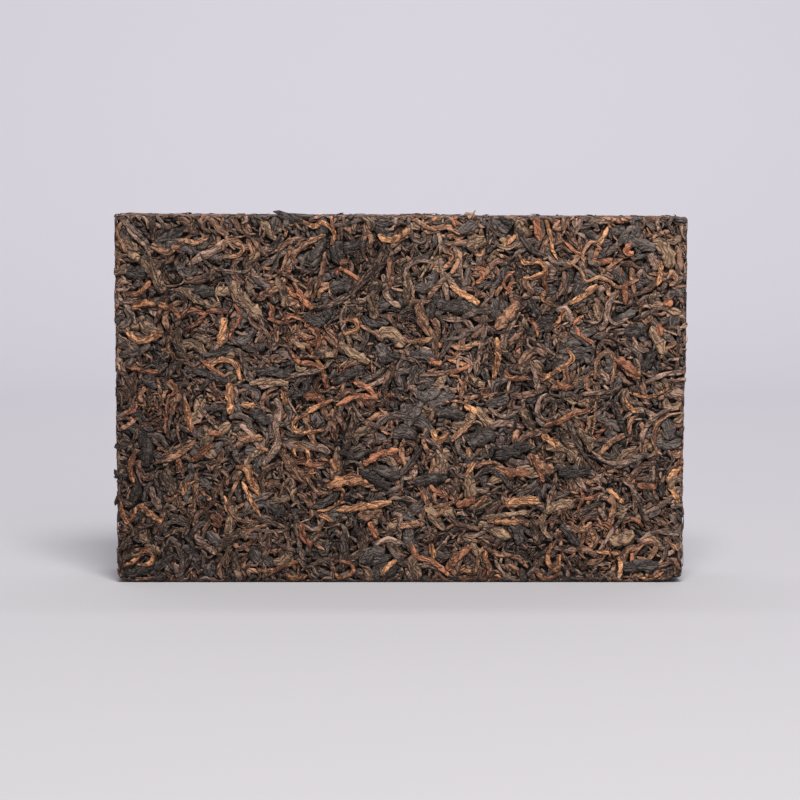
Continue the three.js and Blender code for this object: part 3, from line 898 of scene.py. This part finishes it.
def bent_over(x, h, half):
    """Turns what lies past an edge of a face down over it, round a small radius."""
    past = np.abs(x) - (half - EDGE_BEND)
    angle = np.clip(past / EDGE_BEND, 0, np.pi / 2)
    reach = np.maximum(EDGE_BEND + h, LEAST_BEND)
    down = np.maximum(past - EDGE_BEND * np.pi / 2, 0)
    over_x = half - EDGE_BEND + reach * np.sin(angle)
    over_h = -EDGE_BEND + reach * np.cos(angle) - down
    return np.where(past > 0, np.sign(x) * over_x, x), np.where(past > 0, over_h, h)


def off_face(face, u, v, h):
    """Points over a flat face in the brick's own frame."""
    return face["middle"] + np.stack([u, v, h], -1) @ face["basis"]


def placed(leaf, u, v, h):
    """Points of a leaf in the brick's own frame, pressed, bent over the edges and worn with them."""
    face = leaf["face"]
    if "proud" in leaf:
        return off_face(face, u, v, h)
    h = pressed(face, u, v, h) + leaf["lift"]
    u, h = bent_over(u, h, face["half"][0])
    v, h = bent_over(v, h, face["half"][1])
    return worn(off_face(face, u, v, h))


def shade_of(leaf, spots, height, rim):
    """How light each point of a leaf is: less below the leaves around it and on its underside."""
    if "proud" in leaf:
        return 1
    sky = leaf["face"]["skyline"]
    below = sky[cells_at(spots, leaf["face"], sky)] - height
    return (1 - SUNK_SHADE * smoothstep(below - SUNK_FROM)) * rim


def ring_angles(sides):
    """Angles round a leaf from its underside, closer together over its back."""
    t = np.linspace(-1, 1, sides + 1)[:-1]
    return np.pi * (t - CLOSER * np.sin(np.pi * t))


def ring_faces(rings, sides):
    """Quads between a leaf's rings and triangles at its tips, and the place of each corner on its UV map."""
    i, j = np.meshgrid(np.arange(rings - 1), np.arange(sides), indexing="ij")
    after = (j + 1) % sides
    quads = np.stack([i * sides + j, i * sides + after, (i + 1) * sides + after, (i + 1) * sides + j], -1)
    quad_u = np.stack([j, j + 1, j + 1, j], -1) / sides
    quad_v = np.stack([i, i, i + 1, i + 1], -1) / (rings - 1)
    quad_uv = np.stack([quad_u, quad_v], -1)

    j = np.arange(sides)
    after = (j + 1) % sides
    end = (rings - 1) * sides
    first_tip, last_tip = np.full(sides, rings * sides), np.full(sides, rings * sides + 1)
    first = np.stack([after, j, first_tip], -1)
    last = np.stack([end + j, end + after, last_tip], -1)
    first_u = np.stack([j + 1, j, j + 0.5], -1) / sides
    last_u = np.stack([j, j + 1, j + 0.5], -1) / sides
    tri_u = np.concatenate([first_u, last_u])
    tri_uv = np.stack([tri_u, np.repeat([[0.0], [1.0]], sides, axis=0) + 0 * tri_u], -1)
    return quads.reshape(-1, 4), np.concatenate([first, last]), quad_uv.reshape(-1, 4, 2), tri_uv


def leaf_batch(leaves, step, sides):
    """Points, faces, UVs and tints of many leaves with the same number of rings and sides."""
    keys = ("path", "across", "rise", "half_width", "half_thick")
    path, across, rise, wide, thick = (np.array([leaf[key][::step] for leaf in leaves]) for key in keys)
    n, rings = path.shape
    angle = ring_angles(sides)
    s = np.linspace(0, 1, rings)[:, None]

    # The last row isn't used, but the draws that come after depend on it
    turn, start, depth, oval, fade, lobes, bumps, _ = rng.random((8, n, 1, 1))
    twist = (turn - 0.5) * TWIST * s + ANY_PHASE * start
    groove = 1 - np.abs(np.sin(0.5 * np.where(lobes < 0.5, 3, 4) * angle + twist))
    fold = WIDEST_FOLD - (GROOVE[0] + GROOVE[1] * depth) * groove ** GROOVE_POWER
    fold = fold + UNEVEN * np.cos(2 * angle - OVAL_TURN * twist + ANY_PHASE * oval)
    fold = fold + UNEVEN * np.sin(BUMPS_ALONG * s + angle + ANY_PHASE * bumps)
    fold = fold + UNEVEN * rng.standard_normal((n, rings, sides))
    jump = rng.uniform(0, UV_JUMP, (n, 2))[:, None, None, :]

    spots = path[..., None] + across[..., None] * wide[..., None] * fold * np.sin(angle)
    height = rise[..., None] + thick[..., None] * fold * np.cos(angle)
    tips = path[:, [0, -1]] + (path[:, [0, -1]] - path[:, [1, -2]]) * TIP_REACH
    spots = np.concatenate([spots.reshape(n, -1), tips], 1)
    height = np.concatenate([height.reshape(n, -1), rise[:, [0, -1]]], 1)
    rim = np.tile(1 - RIM_SHADE * smoothstep(RIM_PLACE[0] - RIM_PLACE[1] * np.cos(angle)), rings)
    rim = np.append(rim, [TIP_LIGHT, TIP_LIGHT])
    points = np.zeros((*height.shape, 3))
    shade = np.zeros(height.shape)
    for k, leaf in enumerate(leaves):
        points[k] = placed(leaf, spots[k].real, spots[k].imag, height[k])
        shade[k] = shade_of(leaf, spots[k], height[k], rim)
    along = np.append(np.repeat(s, sides), [0, 1])
    tint = np.array([leaf["tint"] for leaf in leaves])[:, None]
    tint = tint + (fade[..., 0] - 0.5) * TINT_ALONG * (along - 0.5)

    quads, tris, quad_uv, tri_uv = ring_faces(rings, sides)
    base = (np.arange(n) * height.shape[1])[:, None, None]
    span = np.stack([GIRTH * wide.max(1), np.abs(np.diff(path, axis=1)).sum(1)], -1)[:, None, None, :]
    return dict(
        points=points.reshape(-1, 3), tint=np.clip(tint, 0, 1).ravel(), shade=shade.ravel(),
        quads=(quads + base).reshape(-1, 4), tris=(tris + base).reshape(-1, 3),
        quad_uv=(quad_uv * span + jump).reshape(-1, 2), tri_uv=(tri_uv * span + jump).reshape(-1, 2))


def core_batch(face):
    """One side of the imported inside: a rough sheet that sinks a little away from its edges."""
    hu, hv = (half - CORE_EDGE for half in face["half"])
    nu, nv = int(2 * hu / CORE_CELL), int(2 * hv / CORE_CELL)
    u, v = np.meshgrid(np.linspace(-hu, hu, nu + 1), np.linspace(-hv, hv, nv + 1), indexing="ij")
    from_edge = np.minimum(hu - np.abs(u), hv - np.abs(v))
    rough = rng.uniform(-CORE_ROUGH, CORE_ROUGH, u.shape) * (from_edge > 0)
    h = rough - CORE_EDGE - (CORE_DEPTH - CORE_EDGE) * smoothstep(from_edge / CORE_RIM)
    points = worn(off_face(face, u, v, h)).reshape(-1, 3)
    i, j = np.meshgrid(np.arange(nu), np.arange(nv), indexing="ij")
    k = i * (nv + 1) + j
    quads = np.stack([k, k + nv + 1, k + nv + 2, k + 1], -1).reshape(-1, 4)
    uv = np.stack([u, v], -1).reshape(-1, 2)[quads].reshape(-1, 2)
    return dict(
        points=points, tint=np.zeros(len(points)), shade=np.ones(len(points)),
        quads=quads, tris=np.zeros((0, 3), int), quad_uv=uv, tri_uv=np.zeros((0, 2)))


def joined(batches, key):
    return np.concatenate([batch[key] for batch in batches])


def add_values(mesh, name, values):
    """A number for each point of a mesh, which its material can read."""
    mesh.attributes.new(name, "FLOAT", "POINT").data.foreach_set("value", values.astype(np.float32))


def make_piece(name, batches, material):
    """One object of the joined batches, with smooth shading, a UV map, tints and shades."""
    before = np.cumsum([0] + [len(batch["points"]) for batch in batches])
    quads = np.concatenate([batch["quads"] + start for batch, start in zip(batches, before)])
    tris = np.concatenate([batch["tris"] + start for batch, start in zip(batches, before)])
    points = joined(batches, "points") * MM
    corners = np.concatenate([quads.ravel(), tris.ravel()]).astype(np.int32)
    starts = np.concatenate([4 * np.arange(len(quads)), 4 * len(quads) + 3 * np.arange(len(tris))])
    mesh = bpy.data.meshes.new(name)
    mesh.vertices.add(len(points))
    mesh.vertices.foreach_set("co", points.astype(np.float32).ravel())
    mesh.loops.add(len(corners))
    mesh.loops.foreach_set("vertex_index", corners)
    mesh.polygons.add(len(starts))
    mesh.polygons.foreach_set("loop_start", starts.astype(np.int32))
    mesh.update(calc_edges=True)
    mesh.polygons.foreach_set("use_smooth", np.ones(len(starts), bool))
    uv = np.concatenate([joined(batches, "quad_uv"), joined(batches, "tri_uv")])
    mesh.uv_layers.new(name="UVMap").data.foreach_set("uv", uv.astype(np.float32).ravel())
    add_values(mesh, "tint", joined(batches, "tint"))
    add_values(mesh, "shade", joined(batches, "shade"))
    mesh.materials.append(material)
    mesh.validate()
    piece = bpy.data.objects.new(name, mesh)
    bpy.context.scene.collection.objects.link(piece)
    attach(piece, "root")
    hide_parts("tea_brick")


def new_material(name, roughness=0.5):
    """A material, its node tree and its shader."""
    material = bpy.data.materials.new(name)
    material.use_nodes = True
    shader = material.node_tree.nodes["Principled BSDF"]
    shader.inputs["Roughness"].default_value = roughness
    return material, material.node_tree, shader


def math_node(tree, operation, *values):
    """The result of an operation on numbers and on the results of other nodes."""
    node = tree.nodes.new("ShaderNodeMath")
    node.operation = operation
    for socket, value in zip(node.inputs, values):
        if isinstance(value, (int, float)):
            socket.default_value = value
        else:
            tree.links.new(value, socket)
    return node.outputs[0]


def point_value(tree, name):
    node = tree.nodes.new("ShaderNodeAttribute")
    node.attribute_name = name
    return node.outputs["Fac"]


def noise(tree, place, detail, roughness=0.5, distortion=0.0, scale=1.0):
    """Noise at places that another node gives."""
    texture = tree.nodes.new("ShaderNodeTexNoise")
    values = dict(Scale=scale, Detail=detail, Roughness=roughness, Distortion=distortion)
    for name, value in values.items():
        texture.inputs[name].default_value = value
    tree.links.new(place, texture.inputs["Vector"])
    return texture.outputs["Fac"]


def leaf_noise(tree, waves_across, waves_along, *settings):
    """Noise with its own fineness across and along a leaf."""
    uv = tree.nodes.new("ShaderNodeUVMap")
    uv.uv_map = "UVMap"
    stretch = tree.nodes.new("ShaderNodeMapping")
    stretch.inputs["Scale"].default_value = (waves_across, waves_along, 1)
    tree.links.new(uv.outputs["UV"], stretch.inputs["Vector"])
    return noise(tree, stretch.outputs["Vector"], *settings)


def colour_between(tree, value, dark, light, start=0.0, end=1.0):
    """A colour from dark to light as a value goes from start to end."""
    ramp = tree.nodes.new("ShaderNodeValToRGB")
    for stop, position, colour in zip(ramp.color_ramp.elements, (start, end), (dark, light)):
        stop.position = position
        stop.color = tone(*colour)
    tree.links.new(value, ramp.inputs["Fac"])
    return ramp.outputs["Color"]


def add_bump(tree, shader, height, strength, distance):
    node = tree.nodes.new("ShaderNodeBump")
    node.inputs["Strength"].default_value = strength
    node.inputs["Distance"].default_value = distance * MM
    tree.links.new(height, node.inputs["Height"])
    tree.links.new(node.outputs["Normal"], shader.inputs["Normal"])


def far_from_middle(tree, value, steepness):
    """How far a noise is from its mean, up to 1, so that it is 0 along thin winding lines."""
    away = math_node(tree, "ABSOLUTE", math_node(tree, "SUBTRACT", value, 0.5))
    return math_node(tree, "MINIMUM", math_node(tree, "MULTIPLY", away, steepness), 1.0)


def leaf_material(name, dark, light):
    """Dry leaf: fine creases along it with painted shade in them, patches of lighter and darker, painted
    shade from each point's shade value, and a dull sheen.
    """
    material, tree, shader = new_material(name)
    shader.inputs["Specular IOR Level"].default_value = SHEEN
    shader.inputs["Specular Tint"].default_value = SHEEN_COLOUR
    fine = leaf_noise(tree, *FINE)
    crease = far_from_middle(tree, leaf_noise(tree, *STRANDS), CREASE_STEEP)
    crumple = far_from_middle(tree, fine, CRUMPLE_STEEP)

    level = math_node(tree, "MULTIPLY_ADD", fine, FINE_TINT, point_value(tree, "tint"))
    level = math_node(tree, "ADD", leaf_noise(tree, *PATCHES), level)
    level = math_node(tree, "MULTIPLY_ADD", crease, CREASE_TINT, level)
    level = math_node(tree, "SUBTRACT", level, TINT_SHIFT)
    # Painted shade: the colour is mixed towards the painted shade tone along creases and crumples, where
    # points sink below the leaves around, and on the undersides and tips of leaves
    lit = math_node(tree, "MULTIPLY_ADD", crease, *CREASE_LIGHT)
    lit = math_node(tree, "MULTIPLY", lit, math_node(tree, "MULTIPLY_ADD", crumple, *CRUMPLE_LIGHT))
    lit = math_node(tree, "MULTIPLY", lit, point_value(tree, "shade"))
    mix = tree.nodes.new("ShaderNodeMixRGB")
    mix.inputs["Color1"].default_value = tone(*PAINTED_SHADE_TONE)
    tree.links.new(lit, mix.inputs["Fac"])
    tree.links.new(colour_between(tree, level, dark, light), mix.inputs["Color2"])
    tree.links.new(mix.outputs["Color"], shader.inputs["Base Color"])

    span = tree.nodes.new("ShaderNodeMapRange")
    for socket, value in zip(("From Min", "From Max", "To Min", "To Max"), (*NOISE_SPAN, *LEAF_ROUGH)):
        span.inputs[socket].default_value = value
    tree.links.new(fine, span.inputs["Value"])
    tree.links.new(span.outputs["Result"], shader.inputs["Roughness"])
    relief = math_node(tree, "ADD", fine, math_node(tree, "MULTIPLY", crease, CREASE_RELIEF))
    add_bump(tree, shader, relief, *LEAF_BUMP)
    return material


def core_material():
    """Dark crumbled leaf, darkened further as painted shade for the gaps where it shows, in the object's own
    metres.
    """
    material, tree, shader = new_material("packed_core", CORE_ROUGHNESS)
    where = tree.nodes.new("ShaderNodeTexCoord")
    grains = noise(tree, where.outputs["Object"], CORE_DETAIL, scale=CORE_GRAINS)
    colour = colour_between(tree, grains, CORE_DARK, CORE_LIGHT, *CORE_SPAN)
    tree.links.new(colour, shader.inputs["Base Color"])
    add_bump(tree, shader, grains, *CORE_BUMP)
    return material


def sweep_material():
    material, _, shader = new_material("sweep", SWEEP_ROUGH)
    shader.inputs["Base Color"].default_value = tone(*SWEEP_TONE)
    shader.inputs["Specular IOR Level"].default_value = SWEEP_SHEEN
    return material


def lay_all_leaves():
    """Every leaf that shows, with its tint and, at an edge, its lift."""
    leaves = [leaf for face in FACES for leaf in leaves_on(face)]
    leaves += [proud_leaf(*row) for row in PROUD_LEAVES]
    for leaf in leaves:
        middle = leaf["path"][SAMPLES // 2]
        light = sum(region(leaf["face"], middle.real, middle.imag, what) for what in ("light", "clump"))
        # Painted light: the front is made lighter towards its top and its right end
        if leaf["face"] is FRONT:
            light += FRONT_PAINTED_LIGHT[0] * middle.real + FRONT_PAINTED_LIGHT[1] * middle.imag
        if "tint" not in leaf:
            leaf["tint"] = rng.normal(*TINT) - SHADED.get(leaf["layer"], 0)
        leaf["tint"] += LIGHT_TINT * light
        leaf["lift"] = rng.uniform(*EDGE_LIFT) if leaf["layer"] == "edge" else 0
    return leaves


def detail_of(leaf):
    """How many points of its middle line a leaf has for each ring, and how many sides."""
    if leaf["layer"] != "main":
        return DETAIL[leaf["layer"]]
    if leaf["face"] is BASE:
        return BASE_DETAIL
    if leaf["shape"] in (*CURLED, "picked"):
        return CURLED_DETAIL
    if leaf["face"] is BACK:
        return BACK_DETAIL
    return DETAIL["main"]


def make_leaves(leaves):
    """One piece for each kind of leaf."""
    for kind, spec in KINDS.items():
        groups = {}
        for leaf in leaves:
            if leaf["kind"] == kind:
                groups.setdefault(detail_of(leaf), []).append(leaf)
        batches = [leaf_batch(group, *detail) for detail, group in sorted(groups.items())]
        make_piece(kind, batches, leaf_material(kind, spec["dark"], spec["light"]))


def make_sweep():
    """The floor and backdrop as one curved sheet."""
    profile = [(-SWEEP_HALF, 0.0), (SWEEP_BACK, 0.0)]
    for angle in SWEEP_ANGLES:
        profile.append((SWEEP_BACK + SWEEP_BEND * math.sin(angle), SWEEP_BEND * (1 - math.cos(angle))))
    profile += [(SWEEP_BACK + SWEEP_BEND, SWEEP_HIGH)]
    points = [(x, y, z) for y, z in profile for x in (-SWEEP_HALF, SWEEP_HALF)]
    quads = [(2 * k, 2 * k + 1, 2 * k + 3, 2 * k + 2) for k in range(len(profile) - 1)]
    mesh = bpy.data.meshes.new("sweep")
    mesh.from_pydata(points, [], quads)
    mesh.polygons.foreach_set("use_smooth", [True] * len(quads))
    mesh.materials.append(sweep_material())
    floor = bpy.data.objects.new("sweep", mesh)
    bpy.context.scene.collection.objects.link(floor)


def area_light(name, place, aim, size, power, colour):
    light = bpy.data.lights.new(name, "AREA")
    light.shape = "RECTANGLE"
    light.size, light.size_y = size
    light.energy = power
    light.color = colour
    lamp = bpy.data.objects.new(name, light)
    lamp.location = place
    direction = lamp.location - type(lamp.location)(aim)
    lamp.rotation_euler = direction.to_track_quat("Z", "Y").to_euler()
    bpy.context.scene.collection.objects.link(lamp)


def light_the_scene():
    for row in LIGHTS:
        area_light(*row)
    world = bpy.data.worlds.new("studio")
    world.use_nodes = True
    background = world.node_tree.nodes["Background"]
    background.inputs["Color"].default_value = (*SKY_COLOUR, 1)
    background.inputs["Strength"].default_value = SKY_STRENGTH
    bpy.context.scene.world = world


def place_camera():
    camera = bpy.data.cameras.new("camera")
    camera.sensor_width = SENSOR
    camera.lens = LENS
    eye = bpy.data.objects.new("camera", camera)
    eye.location = CAMERA_PLACE
    eye.rotation_euler = (math.radians(90 - CAMERA_DOWN), 0, 0)
    bpy.context.scene.collection.objects.link(eye)
    bpy.context.scene.camera = eye
    bpy.context.scene.view_settings.view_transform = "Standard"


make_leaves(lay_all_leaves())
make_piece("packed_core", [core_batch(face) for face in FACES], core_material())
make_sweep()
light_the_scene()
place_camera()
